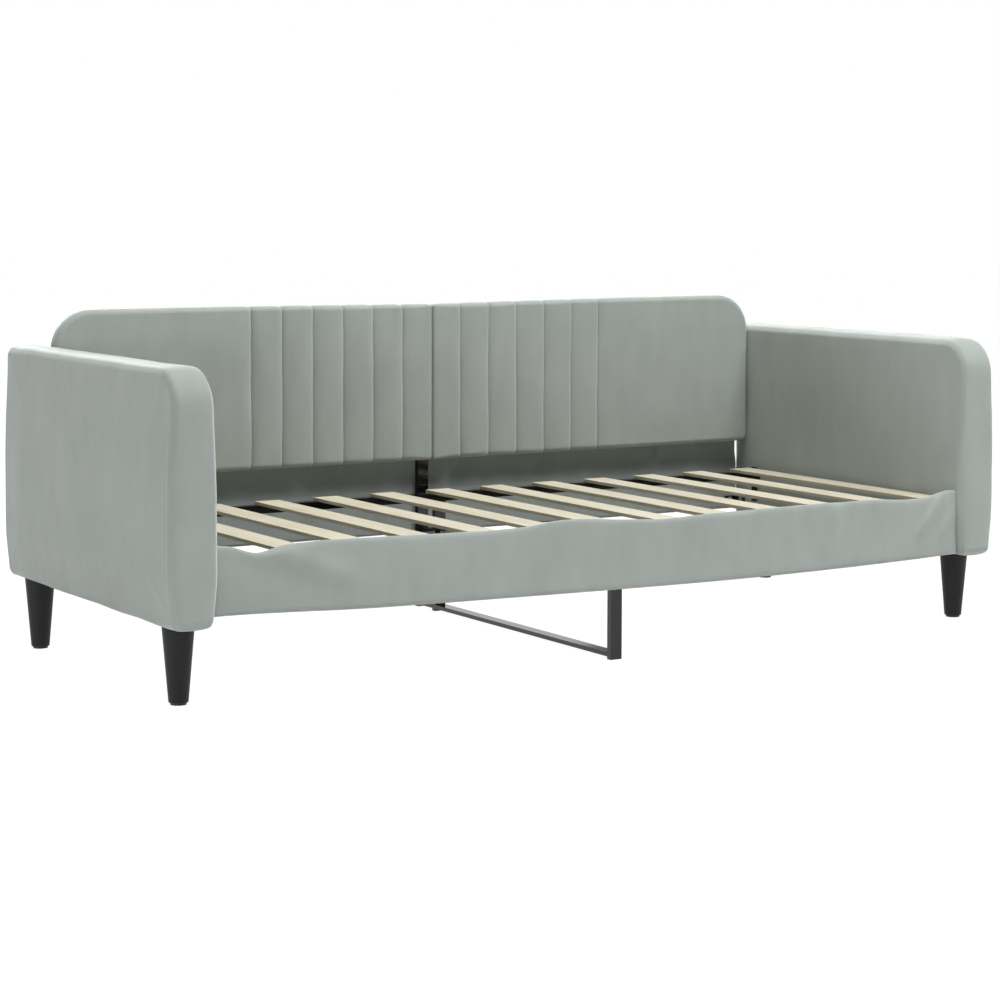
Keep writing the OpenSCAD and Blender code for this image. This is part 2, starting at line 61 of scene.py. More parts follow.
LEFT, RIGHT = -1, 1

# ---------------------------------------------------------------- camera, light and floor

CAMERA_AT = (-3.210, -5.0854, 1.0474)
CAMERA_YAW = 31.902
CAMERA_PITCH = 3.481
CAMERA_ROLL = -0.16
CAMERA_LENS = 90.26
CAMERA_RISE = -0.15
SENSOR_WIDTH = 36
CLIP_END = 60
# Light that the surroundings give from straight ahead, from overhead and from below, before the lamps
SKY_SIDE = 0.035
SKY_TOP = 0.35
SKY_LOW = 0.0
# Each lamp: its power, where it hangs, what it points at and how wide it is
TOP_LAMP = 100
TOP_AT = (0.0, -0.6, 4.2)
TOP_SIZE = 3.2
KEY_LAMP = 225
KEY_AT = (1.8, -2.5, 5.6)
KEY_SIZE = 2.6
KEY_COLOUR = (0.985, 0.995, 1.02)
SIDE_LAMP = 42
SIDE_AT = (-5.2, -1.2, 0.7)
SIDE_AIM = (-1.1, 0, 0.4)
SIDE_SIZE = 1.0
BACK_LAMP = 380
BACK_AT = (0.8, 5.2, 2.2)
BACK_AIM = (0, 0, 0.5)
BACK_SIZE = 4.0
BED_MIDDLE = (0, 0, 0.4)
FLOOR_GLOW = 0.98
FLOOR_SHADE = 0.08
STAGE_REACH = 26
SHEET_DROP = 0.004
SHEET_SHADE = 0.9


def make_camera():
    data = bpy.data.cameras.new("camera")
    data.lens = CAMERA_LENS
    data.sensor_width = SENSOR_WIDTH
    data.shift_y = CAMERA_RISE
    data.clip_end = CLIP_END
    camera = bpy.data.objects.new("camera", data)
    camera.location = CAMERA_AT
    turn = (90 - CAMERA_PITCH, CAMERA_ROLL, -CAMERA_YAW)
    camera.rotation_euler = [math.radians(a) for a in turn]
    bpy.context.scene.collection.objects.link(camera)
    bpy.context.scene.camera = camera


def make_lamp(name, at, aim, size, power, colour=(1, 1, 1)):
    data = bpy.data.lights.new(name, "AREA")
    data.shape = "DISK"
    data.size = size
    data.energy = power
    data.color = colour
    lamp = bpy.data.objects.new(name, data)
    lamp.location = at
    lamp.rotation_euler = (Vector(aim) - Vector(at)).to_track_quat("-Z", "Y").to_euler()
    lamp.visible_camera = False
    bpy.context.scene.collection.objects.link(lamp)


def make_sky():
    """Soft surrounding light: strongest from overhead and weak from below."""
    world = bpy.data.worlds.new("studio")
    world.use_nodes = True
    bpy.context.scene.world = world
    tree = world.node_tree
    coords = tree.nodes.new("ShaderNodeTexCoord").outputs["Generated"]
    split = tree.nodes.new("ShaderNodeSeparateXYZ")
    tree.links.new(coords, split.inputs["Vector"])
    lift = tree.nodes.new("ShaderNodeMath")
    lift.operation = "MULTIPLY_ADD"
    lift.inputs[1].default_value = 0.5
    lift.inputs[2].default_value = 0.5
    tree.links.new(split.outputs["Z"], lift.inputs[0])
    stops = [(0.40, (SKY_LOW,) * 3), (0.52, (SKY_SIDE,) * 3), (1.0, (SKY_TOP,) * 3)]
    colour = add_ramp(tree, lift.outputs["Value"], stops)
    tree.links.new(colour, tree.nodes["Background"].inputs["Color"])


def make_stage_piece(name, vertices, faces, glow, shade):
    """A plain white or pale piece of the studio, which isn't part of the bed."""
    mesh = bpy.data.meshes.new(name)
    mesh.from_pydata(vertices, [], faces)
    piece = bpy.data.objects.new(name, mesh)
    bpy.context.scene.collection.objects.link(piece)
    _, shader, _ = new_material(name + "_paint", roughness=0.9)
    shader.inputs["Specular IOR Level"].default_value = 0
    shader.inputs["Base Color"].default_value = (shade, shade, shade, 1)
    shader.inputs["Emission Color"].default_value = (1, 1, 1, 1)
    shader.inputs["Emission Strength"].default_value = glow
    mesh.materials.append(LOOKS[name + "_paint"])
    return piece


def make_stage():
    """A floor and a backdrop that look evenly white, and a sheet round the bed that throws light up at it."""
    bpy.context.scene.view_settings.view_transform = "Standard"
    make_sky()
    r = STAGE_REACH
    corners = [(-r, -r, 0), (r, -r, 0), (r, r, 0), (-r, r, 0)]
    floor = make_stage_piece("floor", corners, [(0, 1, 2, 3)], FLOOR_GLOW, FLOOR_SHADE)
    low, high = -1, r
    wall = [(-r, -r, low), (r, -r, low), (r, r, low), (-r, r, low)]
    wall += [(x, y, high) for x, y, _ in wall]
    sides = [(0, 1, 5, 4), (1, 2, 6, 5), (2, 3, 7, 6), (3, 0, 4, 7), (4, 5, 6, 7)]
    backdrop = make_stage_piece("backdrop", wall, sides, 1.0, 0)
    for seen in (floor, backdrop):
        seen.visible_diffuse = False
        seen.visible_shadow = False
    (x_lo, y_lo, _), (x_hi, y_hi, _) = CAD_LO, CAD_HI
    inner = [(x_lo, y_lo), (x_hi, y_lo), (x_hi, y_hi), (x_lo, y_hi)]
    around = [(x, y, -SHEET_DROP) for x, y, *_ in corners + inner]
    strips = [(0, 1, 5, 4), (1, 2, 6, 5), (2, 3, 7, 6), (3, 0, 4, 7)]
    sheet = make_stage_piece("bounce_sheet", around, strips, 0, SHEET_SHADE)
    sheet.visible_camera = False
    sheet.visible_glossy = False

    make_lamp("top_lamp", TOP_AT, BED_MIDDLE, TOP_SIZE, TOP_LAMP)
    make_lamp("key_lamp", KEY_AT, BED_MIDDLE, KEY_SIZE, KEY_LAMP, KEY_COLOUR)
    make_lamp("side_lamp", SIDE_AT, SIDE_AIM, SIDE_SIZE, SIDE_LAMP)
    make_lamp("back_lamp", BACK_AT, BACK_AIM, BACK_SIZE, BACK_LAMP)


# ---------------------------------------------------------------- materials


LOOKS = {}
VELVET_DARK = (0.326, 0.357, 0.328)
VELVET_LIGHT = (0.376, 0.410, 0.379)
VELVET_ROUGH = 0.85
VELVET_SPEC = 0.12
VELVET_SHEEN = 1.0
VELVET_SHEEN_ROUGH = 0.35
VELVET_TINT = (0.96, 1.0, 0.99)
STEEL_ROUGH = 0.08
STEEL_SPEC = 0.5


def new_material(name, roughness, **shader_values):
    """A material with one Principled shader: its node tree, that shader, and object coordinates in metres."""
    material = bpy.data.materials.new(name + "_look")
    LOOKS[name] = material
    material.use_nodes = True
    tree = material.node_tree
    shader = tree.nodes["Principled BSDF"]
    shader.inputs["Roughness"].default_value = roughness
    for socket, value in shader_values.items():
        shader.inputs[socket.replace("_", " ")].default_value = value
    coords = tree.nodes.new("ShaderNodeTexCoord").outputs["Object"]
    return tree, shader, coords


def add_noise(tree, coords, scale, detail=2.0, distortion=0.0):
    """Noise with its own number of grains per metre along X, Y and Z."""
    mapping = tree.nodes.new("ShaderNodeMapping")
    mapping.inputs["Scale"].default_value = scale
    tree.links.new(coords, mapping.inputs["Vector"])
    node = tree.nodes.new("ShaderNodeTexNoise")
    node.inputs["Scale"].default_value = 1
    node.inputs["Detail"].default_value = detail
    node.inputs["Distortion"].default_value = distortion
    tree.links.new(mapping.outputs["Vector"], node.inputs["Vector"])
    return node.outputs["Fac"]


def blend_values(tree, parts):
    """The weighted sum of several values."""
    total = None
    for value, weight in parts:
        node = tree.nodes.new("ShaderNodeMath")
        node.operation = "MULTIPLY_ADD"
        tree.links.new(value, node.inputs[0])
        node.inputs[1].default_value = weight
        node.inputs[2].default_value = 0
        if total is not None:
            tree.links.new(total, node.inputs[2])
        total = node.outputs["Value"]
    return total


def add_ramp(tree, value, stops):
    node = tree.nodes.new("ShaderNodeValToRGB")
    ramp = node.color_ramp
    while len(ramp.elements) < len(stops):
        ramp.elements.new(0.5)
    for element, (at, colour) in zip(ramp.elements, stops):
        element.position = at
        element.color = (*colour, 1)
    tree.links.new(value, node.inputs["Fac"])
    return node.outputs["Color"]


def add_bump(tree, shader, height, strength, distance):
    node = tree.nodes.new("ShaderNodeBump")
    node.inputs["Strength"].default_value = strength
    node.inputs["Distance"].default_value = distance
    tree.links.new(height, node.inputs["Height"])
    tree.links.new(node.outputs["Normal"], shader.inputs["Normal"])


def make_velvet():
    """Sage-grey velvet: a short nap with soft sheen, brushed into faint broad upright patches."""
    tree, shader, coords = new_material(
        "velvet", VELVET_ROUGH, Sheen_Weight=VELVET_SHEEN, Sheen_Roughness=VELVET_SHEEN_ROUGH,
        Specular_IOR_Level=VELVET_SPEC,
    )
    shader.inputs["Sheen Tint"].default_value = (*VELVET_TINT, 1)
    streaks = add_noise(tree, coords, (24, 24, 8), detail=2, distortion=0.3)
    patches = add_noise(tree, coords, (7, 7, 5), detail=2)
    nap = add_noise(tree, coords, (700, 700, 420), detail=2)
    tone = blend_values(tree, [(streaks, 0.5), (patches, 0.4), (nap, 0.1)])
    stops = [(0.3, VELVET_DARK), (0.7, VELVET_LIGHT)]
    tree.links.new(add_ramp(tree, tone, stops), shader.inputs["Base Color"])
    add_bump(tree, shader, nap, 0.2, 0.4 * MM)


def make_slat_wood():
    """Pale laminated veneer: fine grain along the slat, thin glue lines across its edge."""
    tree, shader, coords = new_material("slat_wood", 0.62, Specular_IOR_Level=0.3)
    grain = add_noise(tree, coords, (260, 9, 900), detail=5, distortion=0.6)
    clouds = add_noise(tree, coords, (14, 3, 14), detail=2)
    tone = blend_values(tree, [(grain, 0.6), (clouds, 0.4)])
    stops = [(0.32, (0.48, 0.43, 0.31)), (0.52, (0.58, 0.54, 0.42)), (0.72, (0.65, 0.61, 0.50))]
    face_colour = add_ramp(tree, tone, stops)

    plies = tree.nodes.new("ShaderNodeTexWave")
    plies.bands_direction = "Z"
    plies.inputs["Scale"].default_value = 190
    plies.inputs["Distortion"].default_value = 0.4
    tree.links.new(coords, plies.inputs["Vector"])
    geometry = tree.nodes.new("ShaderNodeNewGeometry")
    split = tree.nodes.new("ShaderNodeSeparateXYZ")
    tree.links.new(geometry.outputs["Normal"], split.inputs["Vector"])
    upright = tree.nodes.new("ShaderNodeMath")
    upright.operation = "ABSOLUTE"
    tree.links.new(split.outputs["Z"], upright.inputs[0])
    edge = add_ramp(tree, upright.outputs["Value"], [(0.3, (1, 1, 1)), (0.8, (0, 0, 0))])
    edge_stops = [(0.15, (0.37, 0.31, 0.19)), (0.75, (0.53, 0.47, 0.33))]
    edge_colour = add_ramp(tree, plies.outputs["Fac"], edge_stops)
    mix = tree.nodes.new("ShaderNodeMix")
    mix.data_type = "RGBA"
    tree.links.new(edge, mix.inputs["Factor"])
    tree.links.new(face_colour, mix.inputs["A"])
    tree.links.new(edge_colour, mix.inputs["B"])
    tree.links.new(mix.outputs["Result"], shader.inputs["Base Color"])
    add_bump(tree, shader, grain, 0.25, 0.3 * MM)


def make_plain(name, dark, light, grain, roughness, bump=0.2, depth=0.3, **shader_values):
    """A material whose colour drifts between two shades over a noise of the given grain."""
    tree, shader, coords = new_material(name, roughness, **shader_values)
    texture = add_noise(tree, coords, grain, detail=4)
    colour = add_ramp(tree, texture, [(0.3, dark), (0.7, light)])
    tree.links.new(colour, shader.inputs["Base Color"])
    add_bump(tree, shader, texture, bump, depth * MM)


def make_materials():
    make_velvet()
    make_slat_wood()
    make_plain("timber", (0.55, 0.40, 0.22), (0.72, 0.57, 0.36), (60, 5, 60), 0.7)
    make_plain("board", (0.42, 0.29, 0.16), (0.58, 0.43, 0.26), (7, 40, 60), 0.75)
    make_plain(
        "black_steel", (0.003, 0.0034, 0.0034), (0.006, 0.0066, 0.0064), (900, 900, 900), STEEL_ROUGH,
        bump=0.1, depth=0.05, Specular_IOR_Level=STEEL_SPEC,
    )
    make_plain(
        "zinc_steel", (0.42, 0.43, 0.45), (0.60, 0.61, 0.63), (500, 500, 500), 0.35,
        bump=0.1, depth=0.05, Metallic=1.0,
    )
    make_plain(
        "black_leg", (0.007, 0.0075, 0.0075), (0.011, 0.0115, 0.0115), (420, 420, 60), 0.5,
        bump=0.15, depth=0.12, Specular_IOR_Level=0.25,
    )
    make_plain("plastic", (0.015, 0.015, 0.015), (0.03, 0.03, 0.03), (300, 300, 300), 0.6)


NODE_MATERIALS = {
    "arm_frame": "timber",
    "back_board": "board",
    "rail_board": "board",
    "bracket": "black_steel",
    "plate": "black_steel",
    "slat_bar": "black_steel",
    "slat_pegs": "plastic",
    "slat_": "slat_wood",
    "foot_plugs": "plastic",
    "centre_": "black_steel",
    "leg_glides": "plastic",
    "leg_studs": "zinc_steel",
    "leg_inserts": "zinc_steel",
    "_leg": "black_leg",
    "bolts": "zinc_steel",
    "screws": "zinc_steel",
    "cover": "velvet",
    "cushion": "velvet",
}


def dress_nodes():
    """Every carried-over CAD node takes the first material whose key its name holds."""
    for name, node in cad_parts.items():
        finish = next(m for key, m in NODE_MATERIALS.items() if key in name)
        for slot in node.material_slots:
            slot.material = LOOKS[finish]


# ---------------------------------------------------------------- upholstery: the shape of a pad
#
# A pad has its own directions: u along it, v up it, and n through it from its back face to its front face.

CROWDING = 0.85  # how strongly grid lines crowd towards the marks, from 0 to 1


def grid_lines(marks, step):
    """Lines from the first mark to the last: one on each mark, crowded there and step apart between."""
    lines = [marks[0]]
    for lo, hi in zip(marks, marks[1:]):
        count = max(4, round((1 + CROWDING) * (hi - lo) / step))
        for t in np.arange(1, count + 1) / count:
            lines.append(lo + (hi - lo) * (t - CROWDING * math.sin(2 * math.pi * t) / (2 * math.pi)))
    return np.array(lines)


def set_back(u, lo, hi, r_lo, r_hi):
    """How far a straight side with a rounded corner at each end stands back at u."""
    at_lo = np.clip(lo + r_lo - u, 0, r_lo)
    at_hi = np.clip(u - (hi - r_hi), 0, r_hi)
    return r_lo - np.sqrt(r_lo**2 - at_lo**2) + r_hi - np.sqrt(r_hi**2 - at_hi**2)


def inset(u, v, box, radii):
    """Distance inside the rounded outline. radii are for the corners (u, v) lo lo, hi lo, lo hi, hi hi."""
    (u_lo, u_hi), (v_lo, v_hi) = box
    depth = np.minimum(np.minimum(u - u_lo, u_hi - u), np.minimum(v - v_lo, v_hi - v))
    corners = [(-1, -1), (1, -1), (-1, 1), (1, 1)]
    for (su, sv), r in zip(corners, radii):
        beyond_u = su * (u - (u_hi - r if su > 0 else u_lo + r))
        beyond_v = sv * (v - (v_hi - r if sv > 0 else v_lo + r))
        rounded = (beyond_u > 0) & (beyond_v > 0)
        depth = np.where(rounded, r - np.hypot(beyond_u, beyond_v), depth)
    return np.clip(depth, 0, None)


def smooth(x):
    x = np.clip(x, 0, 1)
    return x * x * (3 - 2 * x)


class Pad:
    """A closed form of two faces and the band round them, as points in (u, v, n) and faces."""

    def __init__(self, box, radii, thickness, edge, marks_u, step, rings, relief=None, reach=1.0):
        (u_lo, u_hi), (v_lo, v_hi) = box
        lines_u = grid_lines(marks_u, step)
        rows = (grid_lines([v_lo, v_hi], step) - v_lo) / (v_hi - v_lo)
        u = np.repeat(lines_u[:, None], len(rows), axis=1)
        low = v_lo + set_back(u, u_lo, u_hi, radii[0], radii[1])
        high = v_hi - set_back(u, u_lo, u_hi, radii[2], radii[3])
        v = low + (high - low) * rows[None, :]
        depth = inset(u, v, box, radii)
        edge = edge(u) if callable(edge) else np.full_like(u, edge)
        from_edge = np.minimum(depth / (edge * reach), 1)
        roll = edge * (1 - np.sqrt(1 - (1 - from_edge) ** 2))
        sunk = relief(u) if relief else np.zeros_like(u)
        front = np.stack([u, v, thickness - sunk - roll], axis=-1)
        back = np.stack([u, v, roll], axis=-1)

        nu, nv = u.shape
        loop = [(i, 0) for i in range(nu)] + [(nu - 1, j) for j in range(1, nv)]
        loop += [(i, nv - 1) for i in range(nu - 2, -1, -1)] + [(0, j) for j in range(nv - 2, 0, -1)]
        ids = np.arange(nu * nv).reshape(nu, nv)
        quads = np.stack([ids[:-1, :-1], ids[1:, :-1], ids[1:, 1:], ids[:-1, 1:]], axis=-1).reshape(-1, 4)
        faces = quads.tolist() + (quads[:, ::-1] + nu * nv).tolist()
        loop_ids = np.array([ids[i, j] for i, j in loop])
        layers = [loop_ids]
        points = [front.reshape(-1, 3), back.reshape(-1, 3)]
        start = 2 * nu * nv
        from_loop, to_loop = points[0][loop_ids], points[1][loop_ids]
        for k in range(1, rings + 1):
            points.append(from_loop + (to_loop - from_loop) * k / (rings + 1))
            layers.append(start + np.arange(len(loop_ids)))
            start += len(loop_ids)
        layers.append(loop_ids + nu * nv)
        for one, other in zip(layers, layers[1:]):
            quads = np.stack([one, other, np.roll(other, -1), np.roll(one, -1)], axis=-1)
            faces += quads.tolist()

        self.points = np.concatenate(points)
        self.faces = faces
        self.side = np.concatenate([np.ones(nu * nv), -np.ones(nu * nv), np.zeros(start - 2 * nu * nv)])
        ring_depth = np.zeros(start - 2 * nu * nv)
        self.depth = np.concatenate([depth.ravel(), depth.ravel(), ring_depth])


def ripple(points, scale, seed):
    """Smooth noise from -1 to 1 at each point, with its own number of waves per metre along u, v and n."""
    offset = Vector((seed * 7.3, seed * 3.1, seed * 5.7))
    scaled = points * np.array(scale)
    return np.array([noise.noise(Vector(p) + offset) for p in scaled])


def normals_of(points, faces):
    """Unit normals at the points of a closed mesh of quads, outwards."""
    quads = np.array(faces)
    p = points[quads]
    across = np.cross(p[:, 2] - p[:, 0], p[:, 3] - p[:, 1])
    total = np.zeros_like(points)
    for corner in range(4):
        np.add.at(total, quads[:, corner], across)
    return total / np.maximum(np.linalg.norm(total, axis=1, keepdims=True), 1e-12)


# ---------------------------------------------------------------- upholstery: cloth and mesh

CLOTH_FRAMES = 20
MERGE_WITHIN = 0.02 * MM


def make_mesh(name, points, faces, merge):
    """A mesh with its faces turned outwards. Points that coincide are joined if merge is true."""
    mesh = bpy.data.meshes.new(name)
    mesh.from_pydata(points.tolist(), [], faces)
    work = bmesh.new()
    work.from_mesh(mesh)
    if merge:
        bmesh.ops.remove_doubles(work, verts=work.verts, dist=MERGE_WITHIN)
    bmesh.ops.recalc_face_normals(work, faces=work.faces)
    work.to_mesh(mesh)
    work.free()
    return mesh


def drape(pieces):
    """Cloth simulation of all the covers at once: each swells as far as its hold and its cap let it."""
    scene = bpy.context.scene
    actors = []
    for piece in pieces:
        mesh = make_mesh("drape", piece["xyz"], piece["faces"], merge=False)
        actor = bpy.data.objects.new("drape", mesh)
        scene.collection.objects.link(actor)
        group = actor.vertex_groups.new(name="hold")
        for index, weight in enumerate(piece["hold"]):
            group.add([index], float(weight), "REPLACE")
        cloth = actor.modifiers.new("cloth", "CLOTH")
        cloth.settings.quality = 4
        cloth.settings.mass = 0.2
        cloth.settings.vertex_group_mass = "hold"
        cloth.settings.pin_stiffness = 1.0
        cloth.settings.use_pressure = True
        cloth.settings.uniform_pressure_force = piece["pressure"]
        cloth.settings.shrink_min = -piece["slack"]
        cloth.settings.bending_stiffness = 2.0
        cloth.settings.effector_weights.gravity = 0
        cloth.collision_settings.use_collision = False
        cloth.point_cache.frame_start = 1
        cloth.point_cache.frame_end = CLOTH_FRAMES
        actors.append(actor)
    for step in range(1, CLOTH_FRAMES + 1):
        scene.frame_set(step)
    graph = bpy.context.evaluated_depsgraph_get()
    for piece, actor in zip(pieces, actors):
        settled = actor.evaluated_get(graph).to_mesh()
        moved = np.zeros(len(settled.vertices) * 3)
        settled.vertices.foreach_get("co", moved)
        shift = moved.reshape(-1, 3) - piece["xyz"]
        length = np.linalg.norm(shift, axis=1, keepdims=True)
        print("drape", piece["name"], "moved", round(float(length.max()) / MM, 2), "mm at most")
        cap = piece["cap"]
        piece["xyz"] = piece["xyz"] + shift * cap * np.tanh(length / cap) / np.maximum(length, 1e-9)
    for actor in actors:
        bpy.data.objects.remove(actor)
    scene.frame_set(1)


def finish_cover(piece):
    """The final mesh of a cover, with one subdivision, riding on the frame in the CAD cover's place."""
    mesh = make_mesh(piece["name"], piece["xyz"], piece["faces"], merge=True)
    mesh.materials.append(LOOKS["velvet"])
    for polygon in mesh.polygons:
        polygon.use_smooth = True
    cover = bpy.data.objects.new(piece["name"], mesh)
    bpy.context.scene.collection.objects.link(cover)
    smoothing = cover.modifiers.new("subdivision", "SUBSURF")
    smoothing.levels = 1
    smoothing.render_levels = 1
    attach(cover, "root")
    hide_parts(*piece["stands_for"])


# ---------------------------------------------------------------- the arms

ARM_EDGE = 18 * MM  # radius of the roll from a side of an arm into its band
ARM_CROWN = 4 * MM
ARM_CROWN_RUN = 130 * MM  # how far in from the edge the crown is full
ARM_BAND_SWELL = 1.6 * MM
# How much fatter each side is low down, and how far above the foot and below the top it takes to get there
ARM_BULGE = 8 * MM
BULGE_RISE = 120 * MM
BULGE_FALL = 300 * MM
# The inner side bulges fully in front of the first of these along Y, and fades out over the second
BULGE_FRONT = -250 * MM
BULGE_FADE = 350 * MM
ARM_FRONT_R = 85 * MM
ARM_BACK_R = 24 * MM
ARM_FOOT_R = 22 * MM
SEAM_DEPTH = 1.3 * MM
SEAM_WIDTH = 3.5 * MM


def arm_piece(side, seed):
    """An arm as a pad: u is Y, v is Z, and n runs along X from its inner side to its outer side."""
    node = ("left" if side == LEFT else "right") + "_arm_cover"
    lo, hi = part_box(node)
    inner = min(abs(lo.x), abs(hi.x))
    thickness = hi.x - lo.x
    box = ((lo.y, hi.y), (lo.z - 1.5 * MM, hi.z))
    radii = (ARM_FOOT_R, ARM_FOOT_R, ARM_FRONT_R, ARM_BACK_R)
    marks = [lo.y, hi.y]
    pad = Pad(box, radii, thickness, ARM_EDGE, marks, 17 * MM, rings=5)
    points, faces = pad.points.copy(), pad.faces
    normals = normals_of(points, faces)

    crown = ARM_CROWN * smooth(pad.depth / ARM_CROWN_RUN)
    points[:, 2] += np.where(pad.side > 0, crown, 0)
    middle = np.clip(1 - np.abs(points[:, 2] / thickness - 0.5) / 0.36, 0, 1)
    rim = (pad.depth < ARM_EDGE).astype(float)
    band = normals * (ARM_BAND_SWELL * np.sqrt(middle) * (pad.side == 0))[:, None]
    points += band * np.array([1, 1, 0])

    foot, top = box[1]
    fat = smooth((points[:, 1] - foot) / BULGE_RISE) * smooth((top - points[:, 1]) / BULGE_FALL)
    to_front = 1 - smooth((points[:, 0] - BULGE_FRONT) / BULGE_FADE)
    inner_side = np.where(points[:, 2] < thickness / 2, to_front, 1)
    points[:, 2] += ARM_BULGE * fat * inner_side * (2 * points[:, 2] / thickness - 1)

    near_edge = np.exp(-pad.depth / (40 * MM))
    upright = np.where(points[:, 1] > box[1][0] + 60 * MM, 1.0, 1.5)
    sway = ripple(points, (9, 9, 5), seed) * 1.3 * MM * near_edge * upright
    pucker = ripple(points, (30, 30, 9), seed + 1) * 0.5 * MM * np.exp(-pad.depth / (14 * MM))
    wander = ripple(points, (4, 4, 0), seed + 2) * 1.0 * MM * (pad.side > 0)
    points += normals * (sway + pucker + wander)[:, None]

    keep_in = (pad.side < 0) & (pad.depth > ARM_EDGE) & (points[:, 0] > 0)
    points[:, 2] = np.where(keep_in, np.clip(points[:, 2], 0, 0.8 * MM), points[:, 2])

    xyz = np.stack([side * (inner + points[:, 2]), points[:, 0], points[:, 1]], axis=-1)
    hold = np.where(pad.side < 0, 1.0, 0.35)
    hold = np.where(rim > 0, 0.75, hold)
    hold = np.where(points[:, 1] < box[1][0] + 8 * MM, 1.0, hold)
    return {
        "name": "left_arm" if side == LEFT else "right_arm",
        "stands_for": [node],
        "pad": pad, "seed": seed, "xyz": xyz, "faces": faces, "hold": hold,
        "pressure": 3.0, "slack": 0.001, "cap": 5 * MM, "fill": 0.85,
    }


def sew_arm(piece):
    """The seam that joins each side of an arm to its band, sewn half way round the rolled edge."""
    pad, xyz = piece["pad"], piece["xyz"]
    normals = normals_of(xyz, piece["faces"])
    flip = -1 if np.mean(np.sum(normals * (xyz - xyz.mean(0)), axis=1)) < 0 else 1
    seam_at = ARM_EDGE * (1 - math.cos(math.radians(58)))
    away = np.abs(pad.depth - seam_at)
    pinch = 0.75 + 0.25 * ripple(xyz, (40, 40, 40), piece["seed"] + 4)
    groove = SEAM_DEPTH * np.exp(-((away / SEAM_WIDTH) ** 2)) * pinch * (pad.side != 0)
    piece["xyz"] = xyz - flip * normals * groove[:, None]


# ---------------------------------------------------------------- the backrest

BACK_EDGE = 13 * MM
JOINT_EDGE = 7 * MM
BACK_TOP_R = 95 * MM
BACK_FOOT_R = 20 * MM
JOINT_R = 7 * MM
JOINT_AT = 9 * MM  # where the joint of the two halves has settled along X
CHANNELS = 6
CHANNEL_W = 85 * MM
CHANNEL_DEPTH = 12 * MM
CHANNEL_FLAT = 2.2
CHANNEL_ROUND = 1.75
CHANNEL_NOTCH = 1.6 * MM  # how far each seam pulls the top edge down
PLAIN_CROWN = 2.0 * MM
JOINT_SAG = 5 * MM  # how far the top edge dips by the joint


def channel_sink(u):
    """How deep the front of a half sinks below its crown at u, which is measured from the joint."""
    along = np.clip(u / CHANNEL_W, 0, CHANNELS + 0.5)
    t = np.where(along >= CHANNELS + 0.5, 0.5, along - np.floor(along))
    full = (1 - np.abs(2 * t - 1) ** CHANNEL_FLAT) ** (1 / CHANNEL_ROUND)
    sink = CHANNEL_DEPTH * (1 - np.clip(full, 0, 1))
    return np.where(u < 0.5 * CHANNEL_W, sink * 0.35, sink)


def back_edge(u):
    return JOINT_EDGE + (BACK_EDGE - JOINT_EDGE) * smooth((u - 4 * MM) / (60 * MM))


def back_piece(side, seed):
    """Half of the backrest as a pad: u runs from the joint outwards, v is Z, and n along Y to its front."""
    name = "left_back" if side == LEFT else "right_back"
    node = name + "_cushion"
    lo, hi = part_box(node)
    near, far = sorted((abs(lo.x), abs(hi.x)))
    far -= side * JOINT_AT
    box = ((near, far), (lo.z, hi.z))
    thickness = hi.y - lo.y
    seams = [k * CHANNEL_W for k in range(1, CHANNELS + 1)]
    radii = (JOINT_R, BACK_FOOT_R, JOINT_R, BACK_TOP_R)
    pad = Pad(box, radii, thickness, back_edge, [near, *seams, far], 15 * MM, 3, channel_sink)
    points, faces = pad.points.copy(), pad.faces
    u, v = points[:, 0].copy(), points[:, 1].copy()
    seam_index = np.clip(np.round(u / CHANNEL_W), 1, CHANNELS)
    to_seam = np.abs(u - seam_index * CHANNEL_W)
    by_seam = np.exp(-((to_seam / (11 * MM)) ** 2)) * (pad.side > 0)

    seam_walk = np.stack([seam_index * 0.37, v, 0 * v], axis=-1)
    points[:, 0] += ripple(seam_walk, (10, 9, 1), seed) * 1.8 * MM * by_seam
    points[:, 0] += ripple(seam_walk, (10, 38, 1), seed + 1) * 0.9 * MM * by_seam
    pulls = ripple(points, (55, 26, 0), seed + 2) * 0.7 * MM * np.exp(-to_seam / (14 * MM))
    broad = ripple(points, (5, 5, 0), seed + 3) * 1.2 * MM
    inside = smooth(pad.depth / (20 * MM))
    points[:, 2] += (pulls + broad) * inside * (pad.side > 0)

    plain = smooth((u - (CHANNELS + 0.4) * CHANNEL_W) / (60 * MM))
    points[:, 2] += PLAIN_CROWN * plain * smooth(pad.depth / (90 * MM)) * (pad.side > 0)
    top_weight = smooth((v - (hi.z - 40 * MM)) / (40 * MM))
    in_channels = u < (CHANNELS + 0.5) * CHANNEL_W
    channel_phase = np.where(in_channels, np.abs(np.sin(math.pi * u / CHANNEL_W)), 1)
    points[:, 1] -= CHANNEL_NOTCH * (1 - channel_phase) ** 2 * top_weight
    sag = JOINT_SAG * np.clip(1 - u / (0.62 * far), 0, 1) ** 1.5
    points[:, 1] -= sag * top_weight * smooth((u + 10 * MM) / (10 * MM))

    xyz = np.stack([side * points[:, 0] + JOINT_AT, hi.y - points[:, 2], points[:, 1]], axis=-1)
    hold = np.where(pad.side > 0, 0.4, 1.0)
    hold = np.where((pad.side > 0) & (to_seam < 2.2 * MM), 1.0, hold)
    hold = np.where((pad.side > 0) & (pad.depth < 9 * MM), 0.8, hold)
    return {
        "name": name,
        "stands_for": [node],
        "pad": pad, "seed": seed, "xyz": xyz, "faces": faces, "hold": hold,
        "pressure": 1.5, "slack": 0.0005, "cap": 4 * MM, "fill": 0.8,
    }


# ---------------------------------------------------------------- the rails

RAIL_END_R = 9 * MM
# How far an edge's roll runs onto the face of a rail, in half thicknesses
FRONT_REACH = 2.0
BACK_REACH = 1.0
